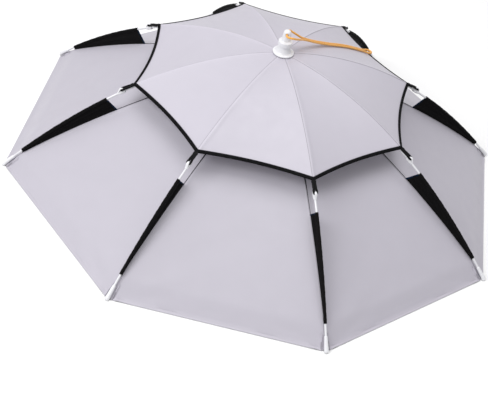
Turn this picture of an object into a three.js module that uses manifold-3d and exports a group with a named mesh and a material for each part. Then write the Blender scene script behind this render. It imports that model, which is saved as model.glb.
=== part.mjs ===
// Umbrella hat: a vented two-tier cloth canopy on eight bent ribs, carried over a headband.
// Millimetres, +Z up. The origin is on the hat's axis, at the floor on which its rib tips stand.
// A rib runs out along +X in its own turned group, with Y across it.

import * as THREE from 'three';
import Module from 'manifold-3d';
import { LoftGeometry } from 'three/addons/geometries/LoftGeometry.js';
import { mergeVertices } from 'three/addons/utils/BufferGeometryUtils.js';

// Clearance between pieces that touch
const GAP = 0.3;

// Ribs: round rods bent to a parabola
const RIB_COUNT = 8;
const FIRST_RIB_TURN = THREE.MathUtils.degToRad(-67.5);
const HUB_HEIGHT = 199;
const FOOT_RADIUS = 387;
const RIB_DIAMETER = 3;
const RIB_INNER_END = 7;
const RIB_SIDES = 8;
const RIB_STEPS = 10;

// Caps on the ribs' ends, measured along the radius from where a rib's axis would meet the floor
const CAP_TRIM = 1.2;
const CAP_LENGTH = 16;
const CAP_END_WALL = 5;
const CAP_TOP_DIAMETER = 5.6;
const CAP_FOOT_DIAMETER = 6.6;

// Cloth and tape
const CLOTH = 1;
const TAPE = 1;
const BINDING_WIDTH = 5;

// Upper canopy
const UPPER_CORNER_RADIUS = 210;
const UPPER_SCALLOP = 7.5;
const UPPER_SAG = 5;
const UPPER_COLUMNS = 5;

// Lower canopy: its seams hang under the ribs and reach them again near the tips
const LOWER_HEM_RADIUS = 131;
const LOWER_HEM_DROP = 31.3;
const SEAM_ARCH = 7.5;
const LOWER_SAG = 5;
const LOWER_ROWS = 5;
const LOWER_COLUMNS = 4;
const RIM_CLEARANCE = 0.5;
const TAIL_WIDTH = 2.4;
const TAIL_BACK = 5;

// Pocket for a rib's cap at each lower corner
const POCKET_TOP_WIDTH = 11.5;
const POCKET_END_WIDTH = 14.6;
const POCKET_LENGTH = 11;

// Mesh gussets between the ribs and the lower seams
const MESH = 1;
const MESH_TO_CAP = 11;
const MESH_TO_CLIP = 14.7;
const MESH_SLANT = 15.8;

// Elastic ties and the clips that hold them
const TIE_LENGTH = 14;
const TIE_STRAND = 1.8;
const TIE_THICKNESS = 1.6;
const CLIP_LENGTH = 10;
const CLIP_WALL = 0.9;
const KNOB_DIAMETER = 2.2;
const KNOB_HEAD_DIAMETER = 4;
const KNOB_HEAD_HEIGHT = 1.4;
const KNOB_SIDES = 6;

// Hub
const HUB_RADIUS = 16;
const HUB_DEPTH = 7.5;
const HUB_SIDES = 16;

// Finial on top, with its stem down through the hub
const FINIAL_RADIUS = 15.4;
const FINIAL_HEIGHT = 38;
const STEM_DIAMETER = 7;
const STEM_SIDES = 16;
const CORD_HOLE_DIAMETER = 4.6;
const CORD_HOLE_SIDES = 10;

// Each row is a turn of the finial's outline, in shares of its radius and its height
const FINIAL_OUTLINE = [
  { place: 'flange foot', radius: 1, height: 0 },
  { place: 'flange edge', radius: 1, height: 0.045 },
  { place: 'cone foot', radius: 0.72, height: 0.08 },
  { place: 'cone top', radius: 0.52, height: 0.31 },
  { place: 'ring foot', radius: 0.66, height: 0.34 },
  { place: 'ring top', radius: 0.66, height: 0.52 },
  { place: 'knob foot', radius: 0.42, height: 0.56 },
  { place: 'knob top', radius: 0.36, height: 0.9 },
  { place: 'dome', radius: 0.24, height: 0.97 },
];
const CORD_HOLE_SHARE = 0.86;

// Headband and the struts that carry it
const BAND_INNER_RADIUS = 90;
const BAND_THICKNESS = 3;
const BAND_HEIGHT = 28;
const BAND_BOTTOM = 80;
const BAND_SIDES = 28;
const STRUT_THICKNESS = 3;
const STRUT_WIDTH = 5;
const STRUT_RISE = 4;
const TOE_THICKNESS = 2.5;
const FORK_LENGTH = 10;
const FORK_WALL = 1.5;
const FORK_LIP = 1;

// Hang loop: an elastic cord through the finial's hole
const CORD_DIAMETER = 3;
const CORD_SIDES = 8;
const CORD_STEPS = 52;

// The cord's route out of the hole's front mouth, down the right of the canopy and back to the other mouth
const CORD_ROUTE = [
  [0, -1.2, 234.6], [0, -4.8, 234.6], [0, -8, 234.8], [1.8, -12, 235.8], [6.2, -13.8, 236.4],
  [10.8, -11.9, 235.4], [14.6, -7.6, 232.8], [17.6, -0.8, 229.2], [20.2, 7.4, 224.4], [24.4, 17.4, 218.8],
  [30.4, 27.1, 212.9], [41.4, 40.1, 204.4], [53.4, 53.6, 196.6], [65.4, 66.6, 189.4], [79.4, 81.6, 181.8],
  [94.4, 97.1, 173], [108.4, 111.6, 163.5], [117.6, 121.4, 156.8], [123.4, 126.3, 152.8],
  [127.8, 129.2, 150.7], [130, 133.2, 149.4], [129.2, 137.5, 148.7], [125.2, 139, 149.2],
  [121.2, 136.6, 150.6], [117.8, 131, 153.1], [112.8, 123.6, 157.6], [105.6, 114.4, 163.5],
  [91.6, 99.9, 173], [76.6, 84.4, 181.8], [62.6, 69.4, 189.4], [50.6, 56.4, 196.6], [38.6, 42.9, 204.4],
  [27.6, 29.9, 212.9], [20.2, 22.6, 218.4], [13.2, 17.8, 224.2], [6.6, 14.2, 229.2], [2, 11.2, 232.6],
  [0, 7.6, 234.1], [0, 4.6, 234.6], [0, 1.2, 234.6],
];

const PLASTIC = { color: 0xf6f6f8, roughness: 0.35, metalness: 0 };
const ROD = { color: 0xfafafc, roughness: 0.3, metalness: 0 };
const COATED_CLOTH = { color: 0xcfccd6, roughness: 0.55, metalness: 0.1 };
const BLACK_TAPE = { color: 0x15151a, roughness: 0.85, metalness: 0 };
const BLACK_MESH = { color: 0x101014, roughness: 0.9, metalness: 0 };
const BLACK_ELASTIC = { color: 0x0c0c0e, roughness: 0.8, metalness: 0 };
const ORANGE_CORD = { color: 0xf0a83c, roughness: 0.7, metalness: 0 };
const BAND_CLOTH = { color: 0x1b1b20, roughness: 0.9, metalness: 0 };

const RIB_RADIUS = RIB_DIAMETER / 2;
const RIB_PITCH = 2 * Math.PI / RIB_COUNT;
const HALF_PITCH = RIB_PITCH / 2;
const ribTurn = (index) => FIRST_RIB_TURN + index * RIB_PITCH;

// A curve made straight between even steps, as a faceted piece is, and its bends between two places
function stepped(curve, start, end, steps) {
  const placeOf = (step) => THREE.MathUtils.lerp(start, end, step / steps);
  const places = Array.from({ length: steps + 1 }, (_, step) => placeOf(step));
  const heightAt = (at) => {
    const step = THREE.MathUtils.clamp(Math.floor((at - start) * steps / (end - start)), 0, steps - 1);
    const [from, to] = [places[step], places[step + 1]];
    return THREE.MathUtils.mapLinear(at, from, to, curve(from), curve(to));
  };
  const bends = (from, to) => {
    const nearest = 1;
    return [from, ...places.filter((at) => at > from + nearest && at < to - nearest), to];
  };
  return { heightAt, bends };
}

const ribCurve = (radius) => HUB_HEIGHT * (1 - (radius / FOOT_RADIUS) ** 2);
const { heightAt: ribHeight, bends: ribBends } = stepped(ribCurve, 0, FOOT_RADIUS, RIB_STEPS);
const ribFall = (radius) => 2 * HUB_HEIGHT * radius / FOOT_RADIUS ** 2;

// The height that a distance square to the rib takes up
const upright = (radius, distance) => distance * Math.hypot(1, ribFall(radius));

// Two unit normals joined as a mitre
function mitre(first, second) {
  return first.clone().add(second).divideScalar(1 + first.dot(second));
}

function ribNormal(from, to) {
  const fall = ribHeight(from) - ribHeight(to);
  return new THREE.Vector3(fall, 0, to - from).normalize();
}

// Sweeps a section along the rib. A section is a list of [across, out from the axis],
// and may change from end to end
function alongRib(from, to, sectionAt) {
  const radii = ribBends(from, to);
  const last = radii.length - 1;
  const sections = radii.map((radius, index) => {
    const before = ribNormal(radii[Math.max(index - 1, 0)], radii[Math.max(index, 1)]);
    const after = ribNormal(radii[Math.min(index, last - 1)], radii[Math.min(index + 1, last)]);
    const normal = mitre(before, after);
    return sectionAt((radius - from) / (to - from)).map(([across, out]) => new THREE.Vector3(
      radius + out * normal.x,
      across,
      ribHeight(radius) + out * normal.z,
    ));
  });
  return new LoftGeometry(sections, { closed: true, capStart: true, capEnd: true });
}

// A regular outline with a flat on top, so that tubes of any size on a rib keep an even gap
function circle(radius, sides = RIB_SIDES) {
  return Array.from({ length: sides }, (_, side) => {
    const angle = (side + 0.5) * 2 * Math.PI / sides;
    return [radius * Math.cos(angle), radius * Math.sin(angle)];
  });
}

const ribTube = (from, to, radius) => alongRib(from, to, () => circle(radius));
const cornerOf = (flatDistance, sides = RIB_SIDES) => flatDistance / Math.cos(Math.PI / sides);
const RIB_BORE = RIB_RADIUS + cornerOf(GAP);

// A group that stands on the rib's axis, X out along it and Z square to it
function onRib(radius) {
  const reach = 1;
  const group = new THREE.Group();
  group.position.set(radius, 0, ribHeight(radius));
  group.rotation.y = Math.atan2(ribHeight(radius) - ribHeight(radius + reach), reach);
  return group;
}

const wasm = await Module();
wasm.setup();

function toSolid(geometry) {
  const bare = new THREE.BufferGeometry();
  bare.setAttribute('position', geometry.getAttribute('position'));
  bare.setIndex(geometry.index);
  const merged = mergeVertices(bare);
  return new wasm.Manifold(new wasm.Mesh({
    numProp: 3,
    vertProperties: new Float32Array(merged.getAttribute('position').array),
    triVerts: new Uint32Array(merged.index.array),
  }));
}

function shaped(base, { add = [], cut = [] }) {
  const joined = add.reduce((solid, piece) => solid.add(toSolid(piece)), toSolid(base));
  const mesh = cut.reduce((solid, piece) => solid.subtract(toSolid(piece)), joined).getMesh();
  const geometry = new THREE.BufferGeometry();
  geometry.setAttribute('position', new THREE.BufferAttribute(mesh.vertProperties, 3));
  geometry.setIndex(new THREE.BufferAttribute(mesh.triVerts, 1));
  geometry.computeVertexNormals();
  return geometry;
}

function box(from, to) {
  const size = to.map((value, axis) => value - from[axis]);
  const centre = to.map((value, axis) => (value + from[axis]) / 2);
  return new THREE.BoxGeometry(...size).translate(...centre);
}

function cylinder(radius, bottom, top, sides) {
  const height = top - bottom;
  return new THREE.CylinderGeometry(radius, radius, height, sides).rotateX(Math.PI / 2)
    .translate(0, 0, bottom + height / 2);
}

// Turns an outline of [radius, height] about the hat's axis
function turned(outline, segments) {
  const points = outline.map(([radius, height]) => new THREE.Vector2(radius, height));
  return new THREE.LatheGeometry(points, segments).rotateX(Math.PI / 2);
}

// A flat outline of [out, up] in a rib's plane, with an even width across it
function plate(outline, width) {
  const shape = new THREE.Shape(outline.map(([out, up]) => new THREE.Vector2(out, up)));
  return new THREE.ExtrudeGeometry(shape, { depth: width, bevelEnabled: false })
    .rotateX(Math.PI / 2).translate(0, width / 2, 0);
}

// A panel's point: its cross line meets the two seams at a radius (the level),
// and the share runs from seam to seam
function panelPoint(panel, level, share, height) {
  const first = ribTurn(panel);
  const second = ribTurn(panel + 1);
  return new THREE.Vector3(
    level * THREE.MathUtils.lerp(Math.cos(first), Math.cos(second), share),
    level * THREE.MathUtils.lerp(Math.sin(first), Math.sin(second), share),
    height,
  );
}

const hump = (share) => 4 * share * (1 - share);

// Sweeps a ring of panels: each column is a loop of points over the cloth's top and back under it
function panelRing(shares, loopAt) {
  const sections = [];
  for (let panel = 0; panel < RIB_COUNT; panel += 1) {
    shares.forEach((share) => sections.push(loopAt(panel, share)));
  }
  sections.push(loopAt(0, shares[0]));
  return new LoftGeometry(sections, { closed: true });
}

const evenShares = (columns) => Array.from({ length: columns }, (_, column) => column / columns);

// Upper canopy: it lies on the ribs at the hub, and rises to lie on its hem tape at the corners
const upperRide = (level) => GAP + (TAPE + GAP) * level / UPPER_CORNER_RADIUS;

function upperHeight(level, share, layer) {
  const sag = UPPER_SAG * level / UPPER_CORNER_RADIUS * hump(share);
  return ribHeight(level) + upright(level, RIB_RADIUS + upperRide(level) + layer) - sag;
}

const upperHemLevel = (share) => UPPER_CORNER_RADIUS - UPPER_SCALLOP * hump(share);
const upperHoleLevel = cornerOf(STEM_DIAMETER / 2 + GAP, RIB_COUNT);

function upperCanopy() {
  const hemSetback = TAPE + 2 * GAP;
  return panelRing(evenShares(UPPER_COLUMNS), (panel, share) => {
    const bends = ribBends(upperHoleLevel, UPPER_CORNER_RADIUS - UPPER_SCALLOP - hemSetback);
    bends[bends.length - 1] = upperHemLevel(share) - hemSetback;
    const layer = (height) => bends.map(
      (level) => panelPoint(panel, level, share, upperHeight(level, share, height)),
    );
    return [...layer(CLOTH), ...layer(0).reverse()];
  });
}

// Lower canopy: an arched seam up to where it meets the rib's cap line, then close under the rib
const capEnd = FOOT_RADIUS - CAP_TRIM;
const capStart = capEnd - CAP_LENGTH;
const meshEnd = capStart - MESH_TO_CAP;
const capFootRadius = CAP_FOOT_DIAMETER / 2;
const underCap = (radius) => ribHeight(radius) - upright(radius, capFootRadius + GAP);
const lowerCornerRadius = FOOT_RADIUS - (RIM_CLEARANCE
  + upright(FOOT_RADIUS, capFootRadius + GAP + CLOTH)) / ribFall(FOOT_RADIUS - CAP_LENGTH);

function seamArch(radius) {
  const along = (radius - LOWER_HEM_RADIUS) / (meshEnd - LOWER_HEM_RADIUS);
  const hemHeight = ribHeight(LOWER_HEM_RADIUS) - LOWER_HEM_DROP;
  return THREE.MathUtils.lerp(hemHeight, underCap(meshEnd), along) + SEAM_ARCH * hump(along);
}

const { heightAt: archHeight, bends: seamBends } = stepped(seamArch, LOWER_HEM_RADIUS, meshEnd, LOWER_ROWS);
const seamHeight = (radius) => (radius < meshEnd
  ? archHeight(radius)
  : underCap(Math.min(radius, lowerCornerRadius)));

// The top of the lower cloth, less a depth into it
function lowerHeight(level, share, depth) {
  const along = (level - LOWER_HEM_RADIUS) / (lowerCornerRadius - LOWER_HEM_RADIUS);
  const sag = LOWER_SAG * Math.max(hump(along), 0) * hump(share);
  return seamHeight(level) - upright(Math.min(level, FOOT_RADIUS), depth) - sag;
}

// The same beside a seam, at a radius along it and a distance to its side
function besideSeam(radius, side, depth) {
  const level = radius + Math.abs(side) * Math.tan(HALF_PITCH);
  return lowerHeight(level, Math.abs(side) / (level * Math.sin(RIB_PITCH)), depth);
}

// The corners are cut square to the width of their pockets
const rimLevel = lowerCornerRadius + POCKET_END_WIDTH / 2 * Math.tan(HALF_PITCH);
const cornerShare = POCKET_END_WIDTH / 2 / (rimLevel * Math.sin(RIB_PITCH));

function pocketLip(side) {
  const inner = (width) => side * (width / 2 - CLOTH);
  const outer = (width) => side * width / 2;
  const section = (radius, width) => {
    const edges = side > 0 ? [inner(width), outer(width)] : [outer(width), inner(width)];
    const foot = besideSeam(radius, width / 2, CLOTH / 2);
    const top = ribHeight(radius);
    return [[edges[0], foot], [edges[1], foot], [edges[1], top], [edges[0], top]]
      .map(([across, height]) => new THREE.Vector3(radius, across, height));
  };
  const end = lowerCornerRadius - GAP;
  return new LoftGeometry([
    section(end - POCKET_LENGTH, POCKET_TOP_WIDTH),
    section(end, POCKET_END_WIDTH),
  ], { closed: true, capStart: true, capEnd: true });
}

function lowerCanopy() {
  const clothHem = LOWER_HEM_RADIUS + TAPE + 2 * GAP;
  const shares = [0, cornerShare, ...evenShares(LOWER_COLUMNS).slice(1), 1 - cornerShare];
  const cloth = panelRing(shares, (panel, share) => {
    const levels = [...seamBends(clothHem, meshEnd), share === 0 ? lowerCornerRadius : rimLevel];
    const layer = (depth) => levels.map(
      (level) => panelPoint(panel, level, share, lowerHeight(level, share, depth)),
    );
    return [...layer(0), ...layer(CLOTH).reverse()];
  });
  const lips = [];
  for (let rib = 0; rib < RIB_COUNT; rib += 1) {
    [-1, 1].forEach((side) => lips.push(pocketLip(side).rotateZ(ribTurn(rib))));
  }
  return shaped(cloth, { add: lips });
}

// Tape folded round a hem: a channel swept round the ring, its open side toward the cloth
function hemTape(points, normals, clothSide) {
  const half = CLOTH / 2 + GAP;
  const channel = [
    [BINDING_WIDTH, half + TAPE], [0, half + TAPE], [0, -half - TAPE], [BINDING_WIDTH, -half - TAPE],
    [BINDING_WIDTH, -half], [TAPE, -half], [TAPE, half], [BINDING_WIDTH, half],
  ];
  const outline = clothSide > 0 ? channel.reverse() : channel;
  const intoCloth = (from, to, normal) => points[to].clone().sub(points[from])
    .cross(normal).multiplyScalar(clothSide).normalize();
  const sections = points.map((point, index) => {
    const before = intoCloth((index + points.length - 1) % points.length, index, normals[index]);
    const after = intoCloth(index, (index + 1) % points.length, normals[index]);
    const inward = mitre(before, after);
    return outline.map(([into, up]) => point.clone()
      .addScaledVector(inward, into).addScaledVector(normals[index], up));
  });
  return new LoftGeometry([...sections, sections[0]], { closed: true });
}

// The cloth's normal at a point, from its neighbours on the same surface
function clothNormal(panel, level, share, heightAt) {
  const reach = 1;
  const shareReach = 0.01;
  const near = (out, over) => {
    const [newLevel, newShare] = [level + out * reach, share + over * shareReach];
    return panelPoint(panel, newLevel, newShare, heightAt(newLevel, newShare));
  };
  const across = share === 0
    ? new THREE.Vector3(-Math.sin(ribTurn(panel)), Math.cos(ribTurn(panel)), 0)
    : near(0, 1).sub(near(0, -1));
  return near(1, 0).sub(near(-1, 0)).cross(across).normalize();
}

function upperBinding() {
  const points = [];
  const normals = [];
  const middle = (level, share) => upperHeight(level, share, CLOTH / 2);
  for (let panel = 0; panel < RIB_COUNT; panel += 1) {
    evenShares(UPPER_COLUMNS).forEach((share) => {
      const level = upperHemLevel(share);
      points.push(panelPoint(panel, level, share, middle(level, share)));
      normals.push(clothNormal(panel, level, share, middle));
    });
  }
  return hemTape(points, normals, -1);
}

function lowerBinding() {
  const points = [];
  const normals = [];
  const middle = (level, share) => lowerHeight(level, share, CLOTH / 2);
  for (let panel = 0; panel < RIB_COUNT; panel += 1) {
    points.push(panelPoint(panel, LOWER_HEM_RADIUS, 0, middle(LOWER_HEM_RADIUS, 0)));
    normals.push(clothNormal(panel, LOWER_HEM_RADIUS, 0, middle));
  }
  const tails = [];
  for (let rib = 0; rib < RIB_COUNT; rib += 1) tails.push(seamTail().rotateZ(ribTurn(rib)));
  return shaped(hemTape(points, normals, 1), { add: tails });
}

// An outline along the top of a seam, at a height above it
const aboveSeam = (from, to, height) => seamBends(from, to)
  .map((radius) => [radius, lowerHeight(radius, 0, -height)]);

// A tail of the inner hem's tape, laid along the top of a seam
function seamTail() {
  const start = LOWER_HEM_RADIUS + BINDING_WIDTH / 2;
  const end = UPPER_CORNER_RADIUS - TAIL_BACK;
  return plate([...aboveSeam(start, end, GAP), ...aboveSeam(start, end, GAP + TAPE).reverse()], TAIL_WIDTH);
}

// Rib pieces
const rib = () => ribTube(RIB_INNER_END, capEnd - CAP_END_WALL, RIB_RADIUS);

function ribTip() {
  const body = alongRib(capStart, capEnd, (share) => circle(
    THREE.MathUtils.lerp(CAP_TOP_DIAMETER, CAP_FOOT_DIAMETER, share) / 2));
  const bore = ribTube(capStart - CAP_LENGTH, capEnd - CAP_END_WALL + GAP, RIB_BORE);
  const under = box([capStart, -CAP_LENGTH, -CAP_LENGTH], [FOOT_RADIUS + CAP_LENGTH, CAP_LENGTH, 0]);
  return shaped(body, { cut: [bore, under] });
}

const knobRadius = UPPER_CORNER_RADIUS + TIE_LENGTH / Math.hypot(1, ribFall(UPPER_CORNER_RADIUS));
const clipRadius = RIB_BORE + cornerOf(CLIP_WALL);
const clipStart = -KNOB_HEAD_DIAMETER / 2;
const clipEnd = clipStart + CLIP_LENGTH;
const tieHeight = clipRadius + GAP;

// A sleeve on the rib with a headed knob, at whose foot its own frame stands
function tieClip() {
  const knobTop = tieHeight + TIE_THICKNESS + GAP;
  const sleeve = (radius, from, to) => cylinder(radius, from, to, RIB_SIDES)
    .rotateZ(Math.PI / RIB_SIDES).rotateY(Math.PI / 2);
  const stalkFoot = RIB_BORE + CLIP_WALL / 2;
  const stalkTop = knobTop + KNOB_HEAD_HEIGHT / 2;
  const stalk = cylinder(KNOB_DIAMETER / 2, stalkFoot, stalkTop, KNOB_SIDES);
  const head = cylinder(KNOB_HEAD_DIAMETER / 2, knobTop, knobTop + KNOB_HEAD_HEIGHT, KNOB_SIDES);
  return shaped(sleeve(clipRadius, clipStart, clipEnd), {
    add: [stalk, head],
    cut: [sleeve(RIB_BORE, clipStart - CLIP_LENGTH, clipEnd + CLIP_LENGTH)],
  });
}

// A flat loop from the canopy's corner round the clip's knob
function cornerTie() {
  const inner = KNOB_DIAMETER / 2 + GAP;
  const outer = inner + TIE_STRAND;
  const frame = onRib(knobRadius);
  frame.updateMatrixWorld();
  const hem = new THREE.Vector3(UPPER_CORNER_RADIUS, 0, upperHeight(UPPER_CORNER_RADIUS, 0, CLOTH / 2));
  const near = frame.worldToLocal(hem).x + GAP + outer;
  const round = (path, radius) => path
    .absarc(0, 0, radius, -Math.PI / 2, Math.PI / 2, false)
    .absarc(near, 0, radius, Math.PI / 2, 3 * Math.PI / 2, false);
  const shape = round(new THREE.Shape(), outer);
  shape.holes.push(round(new THREE.Path(), inner));
  const curveSegments = 3;
  return new THREE.ExtrudeGeometry(shape, { depth: TIE_THICKNESS, bevelEnabled: false, curveSegments })
    .translate(0, 0, tieHeight);
}

function meshGusset() {
  const start = knobRadius + clipEnd + MESH_TO_CLIP;
  const sleeve = ribTube(start, meshEnd, RIB_BORE + cornerOf(MESH));
  const bore = ribTube(start - MESH_SLANT, meshEnd + MESH_SLANT, RIB_BORE);
  const top = ribBends(start, meshEnd).map((radius) => [radius, ribHeight(radius)]).reverse();
  const bottom = aboveSeam(start - MESH_SLANT, meshEnd, GAP);
  return shaped(sleeve, { add: [plate([...bottom, ...top], MESH)], cut: [bore] });
}

// Headband, and struts that hook under it, pass inside the lower hem's corner and fork round the ribs
const bandOuter = BAND_INNER_RADIUS + BAND_THICKNESS;
const bandTop = BAND_BOTTOM + BAND_HEIGHT;

function headband() {
  return turned([
    [BAND_INNER_RADIUS, BAND_BOTTOM], [bandOuter, BAND_BOTTOM], [bandOuter, bandTop],
    [BAND_INNER_RADIUS, bandTop], [BAND_INNER_RADIUS, BAND_BOTTOM],
  ], BAND_SIDES);
}

// The hem tape's upper corner under a strut's edge, which the strut passes at a gap
function hemCorner() {
  const half = CLOTH / 2 + GAP + TAPE;
  const reach = 1;
  const underEdge = LOWER_HEM_RADIUS - STRUT_WIDTH / 2 * Math.tan(HALF_PITCH);
  const fall = lowerHeight(LOWER_HEM_RADIUS, 0, 0) - lowerHeight(LOWER_HEM_RADIUS + reach, 0, 0);
  const normal = new THREE.Vector2(fall, reach).normalize();
  return new THREE.Vector2(underEdge, lowerHeight(LOWER_HEM_RADIUS, 0, CLOTH / 2))
    .addScaledVector(normal, half);
}

function strutLine() {
  const legInner = bandOuter + GAP;
  const start = new THREE.Vector2(legInner + STRUT_THICKNESS, bandTop + STRUT_RISE);
  const corner = hemCorner();
  const toCorner = corner.clone().sub(start).normalize();
  const inward = new THREE.Vector2(-toCorner.y, toCorner.x);
  const passing = corner.clone().addScaledVector(inward, GAP);
  const run = passing.clone().sub(start).normalize();
  const square = new THREE.Vector2(-run.y, run.x);
  return { start, run, square };
}

// How far up a strut's outer face its middle line meets a rib's axis
function strutReach({ start, run, square }) {
  const middle = (length) => start.clone().addScaledVector(run, length)
    .addScaledVector(square, STRUT_THICKNESS / 2);
  let low = 0;
  let high = HUB_HEIGHT;
  const halvings = 40;
  for (let halving = 0; halving < halvings; halving += 1) {
    const length = (low + high) / 2;
    const point = middle(length);
    if (point.y < ribHeight(point.x)) low = length;
    else high = length;
  }
  return { length: low, meeting: middle(low) };
}

function strut() {
  const line = strutLine();
  const { start, run, square } = line;
  const { length, meeting } = strutReach(line);
  const legInner = bandOuter + GAP;
  const toeTop = BAND_BOTTOM - GAP;
  const toeFoot = toeTop - TOE_THICKNESS;
  const end = start.clone().addScaledVector(run, length - RIB_RADIUS);
  const endInner = end.clone().addScaledVector(square, STRUT_THICKNESS);
  const knee = start.clone().addScaledVector(square, STRUT_THICKNESS);
  const kneeHeight = knee.y + (legInner - knee.x) * run.y / run.x;
  const bar = plate([
    [BAND_INNER_RADIUS, toeFoot], [start.x, toeFoot], [start.x, start.y], [end.x, end.y],
    [endInner.x, endInner.y], [legInner, kneeHeight], [legInner, toeTop], [BAND_INNER_RADIUS, toeTop],
  ], STRUT_WIDTH);
  const slotHalf = RIB_RADIUS + GAP;
  const slotFloor = -slotHalf;
  const forkHalf = slotHalf + FORK_WALL;
  const seat = onRib(meeting.x);
  seat.updateMatrix();
  const placed = (geometry) => geometry.applyMatrix4(seat.matrix);
  const forkFoot = slotFloor - FORK_WALL;
  const fork = box([-FORK_LENGTH / 2, -forkHalf, forkFoot], [FORK_LENGTH / 2, forkHalf, FORK_LIP]);
  const slot = box([-FORK_LENGTH, -slotHalf, slotFloor], [FORK_LENGTH, slotHalf, FORK_LENGTH]);
  return shaped(bar, { add: [placed(fork)], cut: [placed(slot)] });
}

// The hub lies just under the cloth, which is lowest midway between the ribs
const hubTop = upperHeight(HUB_RADIUS / Math.cos(HALF_PITCH), 0.5, 0) - GAP;
const hubBottom = hubTop - HUB_DEPTH;

function hub() {
  const slotHalf = RIB_RADIUS + GAP;
  const slotFloor = ribHeight(HUB_RADIUS) - slotHalf;
  const boreRadius = cornerOf(STEM_DIAMETER / 2 + GAP, STEM_SIDES);
  const bore = cylinder(boreRadius, hubBottom - HUB_DEPTH, hubTop + HUB_DEPTH, STEM_SIDES);
  const slots = [];
  for (let index = 0; index < RIB_COUNT; index += 1) {
    const slot = box(
      [RIB_INNER_END - GAP, -slotHalf, slotFloor],
      [2 * HUB_RADIUS, slotHalf, hubTop + HUB_DEPTH],
    );
    slots.push(slot.rotateZ(ribTurn(index)));
  }
  return shaped(cylinder(HUB_RADIUS, hubBottom, hubTop, HUB_SIDES), { cut: [bore, ...slots] });
}

// The finial's flange rests on the cloth over the ribs, where it is highest
const finialBase = upperHeight(upperHoleLevel, 0, CLOTH) + GAP;
const cordHoleHeight = finialBase + CORD_HOLE_SHARE * FINIAL_HEIGHT;

function finial() {
  const stem = STEM_DIAMETER / 2;
  const outline = FINIAL_OUTLINE.map(
    ({ radius, height }) => [radius * FINIAL_RADIUS, finialBase + height * FINIAL_HEIGHT],
  );
  const body = turned([
    [0, hubBottom], [stem, hubBottom], [stem, finialBase], ...outline, [0, finialBase + FINIAL_HEIGHT],
  ], STEM_SIDES);
  const hole = cylinder(CORD_HOLE_DIAMETER / 2, -FINIAL_RADIUS, FINIAL_RADIUS, CORD_HOLE_SIDES)
    .rotateX(Math.PI / 2).translate(0, 0, cordHoleHeight);
  return shaped(body, { cut: [hole] });
}

// The cord's section is turned so that a flat of it lies on the cloth
function hangLoop() {
  const section = new THREE.Shape(circle(CORD_DIAMETER / 2, CORD_SIDES)
    .map(([across, up]) => new THREE.Vector2(across, up)));
  const route = new THREE.CatmullRomCurve3(CORD_ROUTE.map((point) => new THREE.Vector3(...point)));
  return new THREE.ExtrudeGeometry(section, { steps: CORD_STEPS, extrudePath: route, bevelEnabled: false });
}

// The hat
const hat = new THREE.Group();

function addPiece(name, geometry, finish, parent = hat) {
  const mesh = new THREE.Mesh(geometry, new THREE.MeshStandardMaterial(finish));
  mesh.name = name;
  parent.add(mesh);
}

addPiece('upper_canopy', upperCanopy(), COATED_CLOTH);
addPiece('upper_binding', upperBinding(), BLACK_TAPE);
addPiece('lower_canopy', lowerCanopy(), COATED_CLOTH);
addPiece('lower_binding', lowerBinding(), BLACK_TAPE);
addPiece('hub', hub(), PLASTIC);
addPiece('finial', finial(), PLASTIC);
addPiece('headband', headband(), BAND_CLOTH);
addPiece('hang_loop', hangLoop(), ORANGE_CORD);

for (let index = 0; index < RIB_COUNT; index += 1) {
  const bay = new THREE.Group();
  bay.rotation.z = ribTurn(index);
  hat.add(bay);
  addPiece(`rib_${index}`, rib(), ROD, bay);
  addPiece(`rib_tip_${index}`, ribTip(), PLASTIC, bay);
  addPiece(`mesh_gusset_${index}`, meshGusset(), BLACK_MESH, bay);
  addPiece(`strut_${index}`, strut(), PLASTIC, bay);
  const knobSeat = onRib(knobRadius);
  bay.add(knobSeat);
  addPiece(`corner_tie_${index}`, cornerTie(), BLACK_ELASTIC, knobSeat);
  addPiece(`tie_clip_${index}`, tieClip(), PLASTIC, knobSeat);
}

export default hat;
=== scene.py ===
# Looks of the umbrella hat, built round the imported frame.
# Metres, +Z up. The hat's axis is upright at the origin, and -Y is its front.

import math

import bmesh
import bpy
from mathutils import Matrix, Vector

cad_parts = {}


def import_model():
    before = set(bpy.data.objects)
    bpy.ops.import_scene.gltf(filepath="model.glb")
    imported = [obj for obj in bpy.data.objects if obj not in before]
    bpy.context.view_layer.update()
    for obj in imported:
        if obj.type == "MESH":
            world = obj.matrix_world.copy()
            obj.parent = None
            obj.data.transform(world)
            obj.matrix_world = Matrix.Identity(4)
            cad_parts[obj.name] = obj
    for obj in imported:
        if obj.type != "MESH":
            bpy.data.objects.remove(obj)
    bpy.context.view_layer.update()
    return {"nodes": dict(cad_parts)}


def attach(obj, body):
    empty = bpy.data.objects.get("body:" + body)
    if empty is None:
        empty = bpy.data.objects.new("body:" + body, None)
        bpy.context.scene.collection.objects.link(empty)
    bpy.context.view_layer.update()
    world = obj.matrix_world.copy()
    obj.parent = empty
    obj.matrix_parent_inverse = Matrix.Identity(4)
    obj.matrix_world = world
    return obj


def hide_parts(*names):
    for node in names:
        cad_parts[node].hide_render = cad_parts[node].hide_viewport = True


ROOT = "root"

# Ribs
RIB_COUNT = 8
PITCH = 2 * math.pi / RIB_COUNT
CHORD = 2 * math.sin(PITCH / 2)
FIRST_RIB_TURN = math.radians(-67.5)
HUB_HEIGHT = 0.199
FOOT_RADIUS = 0.387
RIB_RADIUS = 0.0015
RIB_INNER_END = 0.007
RIB_OUTER_END = 0.3805
CAP_START = 0.3698
CAP_END = 0.3858
CAP_TOP_RADIUS = 0.0023
CAP_END_RADIUS = 0.0033
CAP_ROUNDING = 0.0012
GAP = 0.0003

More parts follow.
